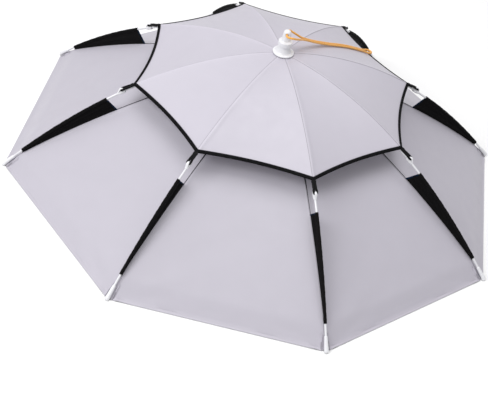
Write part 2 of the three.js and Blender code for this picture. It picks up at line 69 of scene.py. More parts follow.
# Upper canopy
UPPER_HOLE_RADIUS = 0.0042
UPPER_CORNER_RADIUS = 0.210
UPPER_SCALLOP = 0.0075
UPPER_SAG = 0.005
TAPE_SETBACK = 0.0016
FINIAL_COVERS = 0.018
SEAM_STANDS = 0.06

# Cloth and its seams: how far a felled seam reaches before and after its rib, and how its edges step down
CLOTH = 0.0007
SEAM_BEFORE = 0.001
SEAM_AFTER = 0.0038
SEAM_RISE = 0.0004
EDGE_INSIDE = 0.0003
EDGE_OUTSIDE = 0.0004
STITCHES_AFTER = SEAM_AFTER - 0.0008
STEPS_BEFORE = [SEAM_BEFORE - EDGE_INSIDE, SEAM_BEFORE + EDGE_OUTSIDE, 0.003, 0.006, 0.011]
STEPS_AFTER = [0, 0.0016, SEAM_AFTER - EDGE_INSIDE, SEAM_AFTER + EDGE_OUTSIDE, 0.006, 0.011]
PUCKER = 0.0002
PUCKER_LENGTH = 0.007
PUCKER_REACH = 0.006
PUCKER_START = 0.0015

# Lower canopy
LOWER_TOP_DEPTH = 0.0003
LOWER_HEM_RADIUS = 0.131
LOWER_HEM_DROP = 0.0313
SEAM_ARCH = 0.0075
LOWER_SAG = 0.005
LOWER_CORNER_RADIUS = 0.3808
MESH_END = 0.3588
CORNER_HALF_WIDTH = 0.0073
RIM_LEVEL = LOWER_CORNER_RADIUS + CORNER_HALF_WIDTH * math.tan(PITCH / 2)
RIM_HEM_WIDTH = 0.009
RIM_HEM_RISE = 0.0004

# Folds pulled out from a corner: where each runs, measured from the rim toward the seam, and how deep it is
CORNER_FOLDS = [
    {"turn": 9, "spread": 3.2, "depth": 0.0011},
    {"turn": 19, "spread": 4.0, "depth": -0.0008},
    {"turn": 31, "spread": 5.0, "depth": 0.0009},
    {"turn": 47, "spread": 6.0, "depth": -0.0005},
]
FOLD_SETBACK = 0.002
FOLD_EASE = 0.01
FOLD_START = 0.012
FOLD_REACH = 0.075

# Tape round the hems
TAPE = 0.0008
BINDING_WIDTH = 0.005
TAIL_WIDTH = 0.0018
TAIL_END_WIDTH = 0.0005
TAIL_THICKNESS = 0.0007
TAIL_RIDE = 0.0006
TAIL_END = 0.2288

# Mesh gussets
MESH = 0.0006
GUSSET_START = 0.2447
GUSSET_SLANT = 0.0158
GUSSET_SLEEVE = 0.0023
GUSSET_FOOT = 0.0002
GUSSET_WAVE = 0.0009
GUSSET_FOLDS = [
    {"size": 1, "down": 1.4, "outward": 0.25, "phase": 1},
    {"size": 0.5, "down": 3.1, "outward": -0.6, "phase": 2},
]
GUSSET_GATHERS = [
    {"size": 0.00012, "pace": 2.3, "phase": 1},
    {"size": 0.0001, "pace": 0.9, "phase": 0},
]
GUSSET_PHASE = 1.9
GUSSET_HEM_WIDTH = 0.0013
GUSSET_HEM_THICKNESS = 0.0022

# Pockets round the caps, at the rim corners
POCKET_LENGTH = 0.016
POCKET_SETBACK = 0.0004
POCKET_PATCH = 0.0003
POCKET_TOP_WIDTH = 0.0098
POCKET_END_WIDTH = 0.0122
POCKET_TOP_RISE = 0.001
POCKET_END_RISE = 0.0017
POCKET_CLOTH = 0.0008
POCKET_FLANGE = 0.001
POCKET_SHADOW_LINE_START = 0.45

# Ties and clips, in a frame that stands on the rib where the clip's hook is
CLIP_SEAT = 0.2222
CLIP_OUTLINE = [(-0.0026, 0.0022), (-0.0023, 0.0027), (-0.0016, 0.0029), (0.0048, 0.0029), (0.0076, 0.0024),
                (0.0086, 0.0021), (0.009, 0.0018)]
HOOK_ROUTE = [
    {"along": -0.0005, "height": 0.0018, "width": 0.0016},
    {"along": -0.0005, "height": 0.0044, "width": 0.0016},
    {"along": 0.0003, "height": 0.0056, "width": 0.0024},
    {"along": 0.0018, "height": 0.0061, "width": 0.0032},
    {"along": 0.0034, "height": 0.0058, "width": 0.0036},
    {"along": 0.005, "height": 0.0044, "width": 0.0038},
    {"along": 0.0064, "height": 0.003, "width": 0.0036},
    {"along": 0.0074, "height": 0.0021, "width": 0.003},
]
HOOK_THICKNESS = 0.0012
TIE_WIDTH = 0.0032
TIE_THICKNESS = 0.0022
TIE_BEND_RADIUS = 0.0023
TIE_HEIGHT = 0.0043
TIE_APART = 0.0034
TAB_LENGTH = 0.004
TAB_WIDTH = 0.0068
TAB_THICKNESS = 0.0028

# Headband
BAND_RADIUS = 0.0915
BAND_THICKNESS = 0.0034
BAND_BOTTOM = 0.08
BAND_TOP = 0.108

# Finial
FINIAL_FOOT = 0.1918
FINIAL_BASE = 0.2019
FINIAL_RADIUS = 0.0154
FINIAL_HEIGHT = 0.038
STEM_RADIUS = 0.0035
CORD_HOLE_RADIUS = 0.0022
CORD_HOLE_SHARE = 0.86
FINIAL_OUTLINE = [
    {"place": "flange foot", "radius": 1, "height": 0, "round": 0.0006},
    {"place": "flange edge", "radius": 1, "height": 0.045, "round": 0.0008},
    {"place": "cone foot", "radius": 0.72, "height": 0.08, "round": 0.0022},
    {"place": "cone top", "radius": 0.52, "height": 0.31, "round": 0.0012},
    {"place": "ring foot", "radius": 0.66, "height": 0.34, "round": 0.0008},
    {"place": "ring top", "radius": 0.66, "height": 0.52, "round": 0.0014},
    {"place": "knob foot", "radius": 0.42, "height": 0.56, "round": 0.001},
    {"place": "knob top", "radius": 0.36, "height": 0.9, "round": 0.0022},
    {"place": "dome", "radius": 0.24, "height": 0.97, "round": 0.0016},
]

# Hang loop: the route that its solid has, in metres
CORD_DIAMETER = 0.003
CORD_ROUTE = [
    (0, -0.0012, 0.2346), (0, -0.0048, 0.2346), (0, -0.008, 0.2348), (0.0018, -0.012, 0.2358),
    (0.0062, -0.0138, 0.2364), (0.0108, -0.0119, 0.2354), (0.0146, -0.0076, 0.2328),
    (0.0176, -0.0008, 0.2292), (0.0202, 0.0074, 0.2244), (0.0244, 0.0174, 0.2188),
    (0.0304, 0.0271, 0.2129), (0.0414, 0.0401, 0.2044), (0.0534, 0.0536, 0.1966), (0.0654, 0.0666, 0.1894),
    (0.0794, 0.0816, 0.1818), (0.0944, 0.0971, 0.173), (0.1084, 0.1116, 0.1635), (0.1176, 0.1214, 0.1568),
    (0.1234, 0.1263, 0.1528), (0.1278, 0.1292, 0.1507), (0.13, 0.1332, 0.1494), (0.1292, 0.1375, 0.1487),
    (0.1252, 0.139, 0.1492), (0.1212, 0.1366, 0.1506), (0.1178, 0.131, 0.1531), (0.1128, 0.1236, 0.1576),
    (0.1056, 0.1144, 0.1635), (0.0916, 0.0999, 0.173), (0.0766, 0.0844, 0.1818), (0.0626, 0.0694, 0.1894),
    (0.0506, 0.0564, 0.1966), (0.0386, 0.0429, 0.2044), (0.0276, 0.0299, 0.2129), (0.0202, 0.0226, 0.2184),
    (0.0132, 0.0178, 0.2242), (0.0066, 0.0142, 0.2292), (0.002, 0.0112, 0.2326), (0, 0.0076, 0.2341),
    (0, 0.0046, 0.2346), (0, 0.0012, 0.2346),
]

# Camera, as the photo was taken
CAMERA_PLACE = Vector((0.01876, -1.37549, 1.11646))
CAMERA_HEADING = math.radians(91.04)
CAMERA_PITCH = math.radians(41.41)
CAMERA_ROLL = math.radians(12.78)
CAMERA_LENS = 84.99
CAMERA_SENSOR = 36

# Studio
FLOOR_SIZE = 8
WORLD_STRENGTH = 0.55
LIGHTS = [
    {"name": "Key", "place": (-1.6, -1.3, 2.0), "size": 1.4, "power": 38},
    {"name": "Top", "place": (0, 0.1, 2.6), "size": 1.6, "power": 32},
]


def rib_turn(index):
    return FIRST_RIB_TURN + index * PITCH


def lerp(start, end, share):
    return start + (end - start) * share


def hump(share):
    return 4 * share * (1 - share)


def smooth_step(low, high, value):
    share = min(max((value - low) / (high - low), 0), 1)
    return share * share * (3 - 2 * share)


def rib_height(radius):
    return HUB_HEIGHT * (1 - (radius / FOOT_RADIUS) ** 2)


def rib_fall(radius):
    return 2 * HUB_HEIGHT * radius / FOOT_RADIUS ** 2


# How far up the edge of a layer is, when the layer is a distance thick square to the rib
def upright(radius, distance):
    return distance * math.hypot(1, rib_fall(radius))


# A panel's point: its cross line meets the two seams at a radius (the level) and is CHORD times as long
def panel_point(panel, level, share, height):
    first, second = rib_turn(panel), rib_turn(panel + 1)
    return Vector((
        level * lerp(math.cos(first), math.cos(second), share),
        level * lerp(math.sin(first), math.sin(second), share),
        height,
    ))


def seam_distance(level, share):
    return level * CHORD * min(share, 1 - share)


# The distance from the nearest seam, below zero on the side before it
def seam_side(level, share):
    return level * CHORD * (share if share < 0.5 else share - 1)


# Materials

def shader(material):
    return material.node_tree.nodes["Principled BSDF"]


def new_material(name, color, roughness, **sockets):
    material = bpy.data.materials.new(name)
    material.use_nodes = True
    principled = shader(material)
    principled.inputs["Base Color"].default_value = (*color, 1)
    principled.inputs["Roughness"].default_value = roughness
    for socket, value in sockets.items():
        principled.inputs[socket.replace("_", " ")].default_value = value
    return material


class Nodes:
    """Adds nodes to a material and links them in a line or two each."""

    def __init__(self, material):
        self.tree = material.node_tree
        self.shader = shader(material)

    def add(self, kind, **settings):
        node = self.tree.nodes.new(kind)
        for name, value in settings.items():
            setattr(node, name, value)
        return node

    def link(self, source, target):
        self.tree.links.new(source, target)

    def coordinates(self):
        return self.add("ShaderNodeTexCoord").outputs["Object"]

    def parts(self, uv_map):
        place = self.add("ShaderNodeUVMap", uv_map=uv_map)
        parts = self.add("ShaderNodeSeparateXYZ")
        self.link(place.outputs["UV"], parts.inputs["Vector"])
        return parts.outputs["X"], parts.outputs["Y"]

    def noise(self, scale, detail, roughness=0.5):
        node = self.add("ShaderNodeTexNoise")
        node.inputs["Scale"].default_value = scale
        node.inputs["Detail"].default_value = detail
        node.inputs["Roughness"].default_value = roughness
        self.link(self.coordinates(), node.inputs["Vector"])
        return node.outputs["Fac"]

    def wave(self, scale, direction):
        node = self.add("ShaderNodeTexWave", bands_direction=direction)
        node.inputs["Scale"].default_value = scale
        self.link(self.coordinates(), node.inputs["Vector"])
        return node.outputs["Fac"]

    def math(self, operation, *values):
        node = self.add("ShaderNodeMath", operation=operation)
        for socket, value in zip(node.inputs, values):
            if isinstance(value, (int, float)):
                socket.default_value = value
            else:
                self.link(value, socket)
        return node.outputs[0]

    def span(self, value, low, high, to_low, to_high):
        node = self.add("ShaderNodeMapRange")
        self.link(value, node.inputs["Value"])
        limits = {"From Min": low, "From Max": high, "To Min": to_low, "To Max": to_high}
        for socket, number in limits.items():
            node.inputs[socket].default_value = number
        return node.outputs["Result"]

    def mix(self, share, first, second):
        node = self.add("ShaderNodeMix", data_type="RGBA")
        for socket, value in ((0, share), (6, first), (7, second)):
            if isinstance(value, bpy.types.NodeSocket):
                self.link(value, node.inputs[socket])
            else:
                node.inputs[socket].default_value = value if socket == 0 else (*value, 1)
        return node.outputs[2]

    def bump(self, height, distance, strength=1, after=None):
        node = self.add("ShaderNodeBump")
        node.inputs["Strength"].default_value = strength
        node.inputs["Distance"].default_value = distance
        self.link(height, node.inputs["Height"])
        if after:
            self.link(after, node.inputs["Normal"])
        return node.outputs["Normal"]

    # A sine wave from -1 to 1 over a distance
    def ripple(self, distance, pitch):
        return self.math("SINE", self.math("MULTIPLY", distance, 2 * math.pi / pitch))

    # A plain weave's height, from 0 to 1, made of threads along two directions
    def weave(self, threads):
        return self.math("MAXIMUM", self.wave(threads, "X"), self.wave(threads, "Y"))

    # A row of stitches, at a place beside an edge
    def stitches(self, beside, along, place, length, gap):
        half_thread = 0.0002
        row = self.math("COMPARE", beside, place, half_thread)
        dash = self.math("GREATER_THAN", self.math("FRACT", self.math("DIVIDE", along, length)), gap)
        return self.math("MULTIPLY", row, dash)


def shaded(color, factor):
    return tuple(channel * factor for channel in color)


# Coated cloth: a faint mottle and weave. A felled seam shows as a painted shadow line before it and real
# stitches after it, and its doubled band carries a painted highlight.
# Its UV map holds the share across a panel, from seam to seam, and the level in metres.
def cloth_material(name, color, seam_shadow_and_stitch_tone):
    material = new_material(name, color, 0.5, Sheen_Weight=0.15, Sheen_Roughness=0.4)
    nodes = Nodes(material)
    share, level = nodes.parts("seams")

    mottle = nodes.span(nodes.noise(scale=35, detail=4), 0.3, 0.7, 0, 1)
    base = nodes.mix(mottle, shaded(color, 0.98), color)

    width = nodes.math("MULTIPLY", level, CHORD)
    after = nodes.math("MULTIPLY", share, width)
    before = nodes.math("SUBTRACT", width, after)
    # Painted highlight: the seam's doubled band is made lighter, partly the double cloth's own tone and
    # partly the light on the seam's fold
    doubled_highlight_band = nodes.math("LESS_THAN", after, SEAM_AFTER)
    base = nodes.mix(doubled_highlight_band, base, shaded(color, 1.05))
    # Painted shadow: a dark line where the felled seam's step casts shade. The stitches beside it are real
    # thread, darkened by the same factor.
    half_shadow_line = 0.0004
    line = nodes.math("COMPARE", before, SEAM_BEFORE, half_shadow_line)
    stitches = nodes.stitches(after, level, STITCHES_AFTER, length=0.0028, gap=0.25)
    strong_shadow_line = nodes.math("MULTIPLY", line, 0.7)
    faint_stitches = nodes.math("MULTIPLY", stitches, 0.35)
    shadow_line_and_stitches = nodes.math("MAXIMUM", strong_shadow_line, faint_stitches)
    base = nodes.mix(shadow_line_and_stitches, base, shaded(color, seam_shadow_and_stitch_tone))
    nodes.link(base, nodes.shader.inputs["Base Color"])

    soft = nodes.noise(scale=60, detail=3)
    creased = nodes.bump(soft, distance=0.0006, strength=0.2)
    woven = nodes.bump(nodes.weave(420), distance=0.00004, strength=0.5, after=creased)
    sewn = nodes.bump(shadow_line_and_stitches, distance=-0.0002, strength=0.6, after=woven)
    nodes.link(sewn, nodes.shader.inputs["Normal"])
    rough = nodes.span(soft, 0.3, 0.7, 0.44, 0.56)
    nodes.link(rough, nodes.shader.inputs["Roughness"])
    return material


# Black tape: ribs across it, worn paler here and there, and a row of stitches near its edge.
# Its UV map holds the distance from the edge and the distance along it, in metres.
def tape_material(name, color, worn, thread):
    material = new_material(name, color, 0.75, Specular_IOR_Level=0.06)
    nodes = Nodes(material)
    beside, along = nodes.parts("tape")
    height = nodes.span(nodes.ripple(along, pitch=0.0007), -1, 1, 0, 1)
    dust = nodes.span(nodes.noise(scale=180, detail=3), 0.45, 0.75, 0, 1)
    base = nodes.mix(nodes.math("MULTIPLY", dust, height), color, worn)
    stitches = nodes.stitches(beside, along, place=0.0009, length=0.0026, gap=0.3)
    nodes.link(nodes.mix(stitches, base, thread), nodes.shader.inputs["Base Color"])
    ribbed = nodes.bump(height, distance=0.00012, strength=0.5)
    sewn = nodes.bump(stitches, distance=0.0002, strength=0.6, after=ribbed)
    nodes.link(sewn, nodes.shader.inputs["Normal"])
    return material


# Black elastic: fine ribs along it, on the same kind of UV map
def elastic_material(name, color, worn):
    material = new_material(name, color, 0.6, Specular_IOR_Level=0.08)
    nodes = Nodes(material)
    beside, along = nodes.parts("tape")
    ribs = nodes.ripple(beside, pitch=0.0006)
    wrap = nodes.math("MULTIPLY", nodes.ripple(along, pitch=0.0009), 0.4)
    height = nodes.span(nodes.math("ADD", ribs, wrap), -1.4, 1.4, 0, 1)
    nodes.link(nodes.mix(height, color, worn), nodes.shader.inputs["Base Color"])
    nodes.link(nodes.bump(height, distance=0.00015, strength=0.6), nodes.shader.inputs["Normal"])
    return material


# Fine net: threads round darker holes, in cells about a millimetre wide
def net_material(name, thread, hole):
    material = new_material(name, thread, 0.7, Specular_IOR_Level=0.05)
    nodes = Nodes(material)
    cells = nodes.add("ShaderNodeTexVoronoi", feature="DISTANCE_TO_EDGE", voronoi_dimensions="3D")
    cells.inputs["Scale"].default_value = 900
    cells.inputs["Randomness"].default_value = 0.25
    nodes.link(nodes.coordinates(), cells.inputs["Vector"])
    open_part = nodes.span(cells.outputs["Distance"], 0.05, 0.25, 0, 1)
    nodes.link(nodes.mix(open_part, thread, hole), nodes.shader.inputs["Base Color"])
    nodes.link(nodes.bump(open_part, distance=-0.0002, strength=0.5), nodes.shader.inputs["Normal"])
    return material


# Moulded plastic: faint ripple, scuffs and uneven gloss
def plastic_material(name, color, roughness):
    material = new_material(name, color, roughness, Coat_Weight=0.15, Coat_Roughness=0.25)
    nodes = Nodes(material)
    scuffs = nodes.span(nodes.noise(scale=600, detail=4, roughness=0.7), 0.55, 0.8, 0, 1)
    nodes.link(nodes.mix(scuffs, color, shaded(color, 0.93)), nodes.shader.inputs["Base Color"])
    rough = nodes.span(scuffs, 0, 1, roughness, roughness + 0.2)
    nodes.link(rough, nodes.shader.inputs["Roughness"])
    uneven = nodes.noise(scale=140, detail=3)
    nodes.link(nodes.bump(uneven, distance=0.0002, strength=0.15), nodes.shader.inputs["Normal"])
    return material


# Braided cord: two diagonal runs of threads on a UV map that goes once round and in diameters along
def cord_material(name, color, shade):
    material = new_material(name, color, 0.6, Sheen_Weight=0.3, Sheen_Roughness=0.4)
    nodes = Nodes(material)
    around, along = nodes.parts("braid")
    threads_round, threads_along = 6, 2.2
    turns = nodes.math("MULTIPLY", around, threads_round)
    runs = nodes.math("MULTIPLY", along, threads_along)
    one_way = nodes.ripple(nodes.math("ADD", turns, runs), pitch=1)
    other_way = nodes.ripple(nodes.math("SUBTRACT", turns, runs), pitch=1)
    height = nodes.span(nodes.math("MAXIMUM", one_way, other_way), -0.2, 1, 0, 1)
    nodes.link(nodes.mix(height, shade, color), nodes.shader.inputs["Base Color"])
    nodes.link(nodes.bump(height, distance=0.00025, strength=0.7), nodes.shader.inputs["Normal"])
    return material


# Knitted elastic: upright ribs round the band, on a UV map in metres
def knit_material(name, color, worn):
    material = new_material(name, color, 0.85, Specular_IOR_Level=0.15)
    nodes = Nodes(material)
    around, up = nodes.parts("knit")
    ribs = nodes.ripple(around, pitch=0.0022)
    loops = nodes.math("MULTIPLY", nodes.ripple(up, pitch=0.0014), 0.5)
    height = nodes.span(nodes.math("ADD", ribs, loops), -1.5, 1.5, 0, 1)
    nodes.link(nodes.mix(height, color, worn), nodes.shader.inputs["Base Color"])
    nodes.link(nodes.bump(height, distance=0.0004, strength=0.7), nodes.shader.inputs["Normal"])
    return material


# Meshes

# A body is a list of points and a list of faces.
# The period says where a UV map closes on itself, on each of its axes.
def new_piece(name, body, material, replaced, uv=None, uv_name="seams", period=(0, 0), sharp=35):
    points, faces = body
    mesh = bpy.data.meshes.new(name)
    mesh.from_pydata([tuple(point) for point in points], [], faces)
    mesh.update()
    outward = bmesh.new()
    outward.from_mesh(mesh)
    bmesh.ops.recalc_face_normals(outward, faces=outward.faces)
    outward.to_mesh(mesh)
    outward.free()
    if uv:
        lay_uv(mesh, uv, uv_name, period)
    mesh.shade_smooth()
    mesh.set_sharp_from_angle(angle=math.radians(sharp))
    mesh.materials.append(material)
    piece = bpy.data.objects.new(name, mesh)
    bpy.context.collection.objects.link(piece)
    return placed(piece, replaced)


# A face that spans the place where a map closes on itself gets its low values a period higher
def lay_uv(mesh, uv, name, period):
    layer = mesh.uv_layers.new(name=name)
    for polygon in mesh.polygons:
        spots = [uv[mesh.loops[loop].vertex_index] for loop in polygon.loop_indices]
        highest = [max(spot[axis] for spot in spots) for axis in range(2)]
        for loop, spot in zip(polygon.loop_indices, spots):
            layer.data[loop].uv = [
                value + period[axis] if highest[axis] - value > period[axis] / 2 else value
                for axis, value in enumerate(spot)
            ]


def placed(piece, replaced):
    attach(piece, ROOT)
    if replaced:
        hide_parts(*replaced)
    return piece


# Joins loops of points into one closed body, with flat ends unless it closes on itself
def sweep(loops, closed=False):
    count, sides = len(loops), len(loops[0])
    points = [point for loop in loops for point in loop]
    faces = []
    for ring in range(count if closed else count - 1):
        here = ring * sides
        after = (ring + 1) % count * sides
        for side in range(sides):
            turn = (side + 1) % sides
            faces.append((here + side, here + turn, after + turn, after + side))
    if not closed:
        last = (count - 1) * sides
        faces.append(tuple(reversed(range(sides))))
        faces.append(tuple(last + side for side in range(sides)))
    return points, faces


def joined(bodies):
    points, faces = [], []
    for body_points, body_faces in bodies:
        first = len(points)
        points += body_points
        faces += [tuple(first + index for index in face) for face in body_faces]
    return points, faces


# Frames carried along a line: at each point its tangent, and two normals that don't twist
def carried_frames(line, up):
    frames = []
    for before, after in zip([line[0], *line], [*line[1:], line[-1]]):
        tangent = (after - before).normalized()
        if frames:
            side = frames[-1][1]
            side = (side - tangent * side.dot(tangent)).normalized()
        else:
            side = up.cross(tangent).normalized()
        frames.append((tangent, side, tangent.cross(side)))
    return frames


# A section for each point of a line, as a list of places across it and out from it
def swept(line, sections, up=Vector((0, 0, 1))):
    frames = carried_frames(line, up)
    return sweep([
        [point + side * across + normal * out for across, out in section]
        for point, section, (_, side, normal) in zip(line, sections, frames)
    ])


def tube(line, radii, sides):
    turns = [2 * math.pi * step / sides for step in range(sides)]
    circle = [(math.cos(turn), math.sin(turn)) for turn in turns]
    return swept(line, [[(radius * across, radius * out) for across, out in circle] for radius in radii])


# A section with flat faces and well rounded corners
def flat_round(width, thickness, sides=12, squareness=0.55):
    section = []
    for step in range(sides):
        turn = 2 * math.pi * (step + 0.5) / sides
        across, out = math.cos(turn), math.sin(turn)
        section.append((
            math.copysign(abs(across) ** squareness, across) * width / 2,
            math.copysign(abs(out) ** squareness, out) * thickness / 2,
        ))
    return section


# The distance along a line at each of its points
def travelled(line):
    distances = [0.0]
    for first, second in zip(line, line[1:]):
        distances.append(distances[-1] + math.dist(first, second))
    return distances


# A UV map for a swept strip: the distance round its section, and along its line
def strip_uv(line, sections):
    return [
        (around, along) for section, along in zip(sections, travelled(line)) for around in travelled(section)
    ]


# A smooth line through chosen points
def spline(route, steps):
    points = [Vector(point) for point in route]
    padded = [2 * points[0] - points[1], *points, 2 * points[-1] - points[-2]]
    line = []
    for index in range(1, len(padded) - 2):
        before, start, end, after = padded[index - 1:index + 3]
        times = [0.0]
        for first, second in ((before, start), (start, end), (end, after)):
            times.append(times[-1] + math.sqrt((second - first).length))
        leaving = tangent_between(before, start, end, times[0:3]) * (times[2] - times[1])
        arriving = tangent_between(start, end, after, times[1:4]) * (times[2] - times[1])
        for step in range(steps):
            share = step / steps
            square, cube = share ** 2, share ** 3
            line.append(
                start * (2 * cube - 3 * square + 1) + leaving * (cube - 2 * square + share)
                + end * (3 * square - 2 * cube) + arriving * (cube - square)
            )
    line.append(points[-1])
    return line


def tangent_between(before, middle, after, times):
    first, second, third = times
    return (
        (middle - before) / (second - first)
        - (after - before) / (third - first)
        + (after - middle) / (third - second)
    )


# A sheet with a top and an underside, from columns of points that run outward
def sheet_body(columns, thickness, closed=True):
    count, rows = len(columns), len(columns[0])
    tops, unders = [], []
    for index, column in enumerate(columns):
        before = columns[(index - 1) % count] if closed or index else column
        after = columns[(index + 1) % count] if closed or index < count - 1 else column
        for row, point in enumerate(column):
            outward = column[min(row + 1, rows - 1)] - column[max(row - 1, 0)]
            across = after[row] - before[row]
            normal = outward.cross(across).normalized()
            tops.append(point)
            unders.append(point - normal * thickness)
    faces = []
    spans = count if closed else count - 1
    low = count * rows
    for index in range(spans):
        here, after = index * rows, ((index + 1) % count) * rows
        for row in range(rows - 1):
            faces.append((here + row, here + row + 1, after + row + 1, after + row))
            faces.append((low + here + row, low + after + row, low + after + row + 1, low + here + row + 1))
        last = rows - 1
        faces.append((here, after, low + after, low + here))
        faces.append((here + last, low + here + last, low + after + last, after + last))
    if not closed:
        end = (count - 1) * rows
        for row in range(rows - 1):
            faces.append((row, low + row, low + row + 1, row + 1))
            faces.append((end + row, end + row + 1, low + end + row + 1, low + end + row))
    return tops + unders, faces


# Shares across a panel, close together beside the seams
def panel_shares(level, after, before, coarse):
    width = level * CHORD
    start, end = after[-1] / width, 1 - before[-1] / width
    return [
        *(distance / width for distance in after),
        *(lerp(start, end, step / coarse) for step in range(1, coarse)),
        *(1 - distance / width for distance in reversed(before)),
    ]


# The folded cloth of a seam, which lies to one side of it
def seam_ridge(side):
    rising = smooth_step(-SEAM_BEFORE - EDGE_OUTSIDE, -SEAM_BEFORE + EDGE_INSIDE, side)
    falling = smooth_step(SEAM_AFTER - EDGE_INSIDE, SEAM_AFTER + EDGE_OUTSIDE, side)
    return SEAM_RISE * rising * (1 - falling)


def turned(body, index):
    points, faces = body
    turn = Matrix.Rotation(rib_turn(index), 3, "Z")
    return [turn @ point for point in points], faces


# Ribs and their caps

def rib_line(start, end, steps):
    radii = [lerp(start, end, step / steps) for step in range(steps + 1)]
    return [Vector((radius, 0, rib_height(radius))) for radius in radii]


def rib_rod(index, material):
    line = rib_line(RIB_INNER_END, RIB_OUTER_END, 48)
    body = tube(line, [RIB_RADIUS] * len(line), 16)
    new_piece(f"rod_{index}", turned(body, index), material, [f"rib_{index}"])


def rib_cap(index, material):
    steps = 14
    line = rib_line(CAP_START, CAP_END, steps)
    length = CAP_END - CAP_START
    radii = []
    for step in range(steps + 1):
        share = step / steps
        radius = lerp(CAP_TOP_RADIUS, CAP_END_RADIUS, share)
        short = max(CAP_ROUNDING - (1 - share) * length, CAP_ROUNDING - share * length, 0)
        radius -= CAP_ROUNDING - math.sqrt(CAP_ROUNDING ** 2 - short ** 2)
        radii.append(radius)
    body = tube(line, radii, 24)
    floor_clear = 0.0001
    for point in body[0]:
        point.z = max(point.z, floor_clear)
    new_piece(f"cap_{index}", turned(body, index), material, [f"rib_tip_{index}"])


# Upper canopy

def upper_height(level, share, layer=0):
    sag = UPPER_SAG * level / UPPER_CORNER_RADIUS * hump(share)
    ride = GAP + (TAPE_SETBACK - GAP) * level / UPPER_CORNER_RADIUS
    return rib_height(level) + upright(level, RIB_RADIUS + ride + layer) - sag


def upper_hem_level(share):
    return UPPER_CORNER_RADIUS - UPPER_SCALLOP * hump(share)


# Small puckers that the stitching draws in beside a seam
def pucker(level, distance):
    fade = math.exp(-distance / PUCKER_REACH) * (1 - math.exp(-distance / PUCKER_START))
    return PUCKER * fade * math.sin(2 * math.pi * level / PUCKER_LENGTH)


def upper_cloth(material):
    rows = 44
    columns, uv = [], []
    for panel in range(RIB_COUNT):
        for share in panel_shares(UPPER_CORNER_RADIUS, STEPS_AFTER, STEPS_BEFORE, 18):
            end = upper_hem_level(share) - TAPE_SETBACK / 2
            column = []
            for row in range(rows + 1):
                level = lerp(UPPER_HOLE_RADIUS, end, row / rows)
                rise = seam_ridge(seam_side(level, share)) * smooth_step(FINIAL_COVERS, SEAM_STANDS, level)
                rise += pucker(level, seam_distance(level, share))
                height = upper_height(level, share, CLOTH + rise)
                column.append(panel_point(panel, level, share, height))
                uv.append((share, level))
            columns.append(column)
    body = sheet_body(columns, CLOTH)
    return new_piece("upper_cloth", body, material, ["upper_canopy"], uv * 2, "seams", (1, 0))


# Lower canopy

def under_cap(radius):
    return rib_height(radius) - upright(radius, CAP_END_RADIUS + GAP)


def seam_height(radius):
    if radius >= MESH_END:
        return under_cap(min(radius, LOWER_CORNER_RADIUS))
    along = (radius - LOWER_HEM_RADIUS) / (MESH_END - LOWER_HEM_RADIUS)
    hem_height = rib_height(LOWER_HEM_RADIUS) - LOWER_HEM_DROP
    return lerp(hem_height, under_cap(MESH_END), along) + SEAM_ARCH * hump(along)


def lower_height(level, share, layer=0):
    along = (level - LOWER_HEM_RADIUS) / (LOWER_CORNER_RADIUS - LOWER_HEM_RADIUS)
    sag = LOWER_SAG * max(hump(along), 0) * hump(share)
    return seam_height(level) + upright(min(level, FOOT_RADIUS), layer) - sag


def behind_rim(level):
    return (RIM_LEVEL - level) * math.cos(PITCH / 2)


# Folds that fan out from a rim corner over the panel
def corner_folds(level, share):
    across = seam_distance(level, share)
    back = behind_rim(level) + FOLD_SETBACK
    reach = math.hypot(across, back)
    turn = math.degrees(math.atan2(back, max(across, 1e-6)))
    fade = smooth_step(0, FOLD_START, across) * smooth_step(0, FOLD_EASE, reach)
    fade *= math.exp(-reach / FOLD_REACH)
    return fade * sum(
        fold["depth"] * math.exp(-((turn - fold["turn"]) / fold["spread"]) ** 2) for fold in CORNER_FOLDS
    )


# A turned hem: double cloth along the rim, with a step where it ends
def rim_hem(level):
    return RIM_HEM_RISE * (1 - smooth_step(RIM_HEM_WIDTH * 0.9, RIM_HEM_WIDTH, behind_rim(level)))


# The top of the lower cloth with its seams, puckers, hem and folds
def lower_top(level, share):
    rise = seam_ridge(seam_side(level, share)) + pucker(level, seam_distance(level, share))
    rise += rim_hem(level)
    return lower_height(level, share, rise + corner_folds(level, share) - LOWER_TOP_DEPTH)


def lower_cloth(material):
    rows = 54
    crowding_outward = 0.8
    columns, uv = [], []
    start = LOWER_HEM_RADIUS + TAPE_SETBACK / 2
    for panel in range(RIB_COUNT):
        beyond = [CORNER_HALF_WIDTH, 0.013, 0.024]
        for share in panel_shares(RIM_LEVEL, STEPS_AFTER[:-1] + beyond, STEPS_BEFORE[:-1] + beyond, 20):
            end = min(RIM_LEVEL, LOWER_CORNER_RADIUS + seam_distance(RIM_LEVEL, share) * math.tan(PITCH / 2))
            column = []
            for row in range(rows + 1):
                level = lerp(start, end, (row / rows) ** crowding_outward)
                column.append(panel_point(panel, level, share, lower_top(level, share)))
                uv.append((share, level))
            columns.append(column)
    body = sheet_body(columns, CLOTH)
    return new_piece("lower_cloth", body, material, ["lower_canopy"], uv * 2, "seams", (1, 0))


# Tape folded round a hem

# The section's places into the cloth and up from its middle: over the outside, then back inside
def tape_section():
    clear_of_cloth = 0.0001
    half = CLOTH / 2 + clear_of_cloth
    fold = half + TAPE
    steps = 8
    edge = [(BINDING_WIDTH, fold - 0.0002), (BINDING_WIDTH - 0.0004, fold), (BINDING_WIDTH * 0.6, fold)]
    bend = [
        (fold * (1 - math.sin(math.pi * step / steps)), fold * math.cos(math.pi * step / steps))
        for step in range(steps + 1)
    ]
    outside = [*edge, *bend, *((into, -up) for into, up in reversed(edge))]
    inside = [(BINDING_WIDTH, -half), (fold, -half), (fold, half), (BINDING_WIDTH, half)]
    return outside, inside


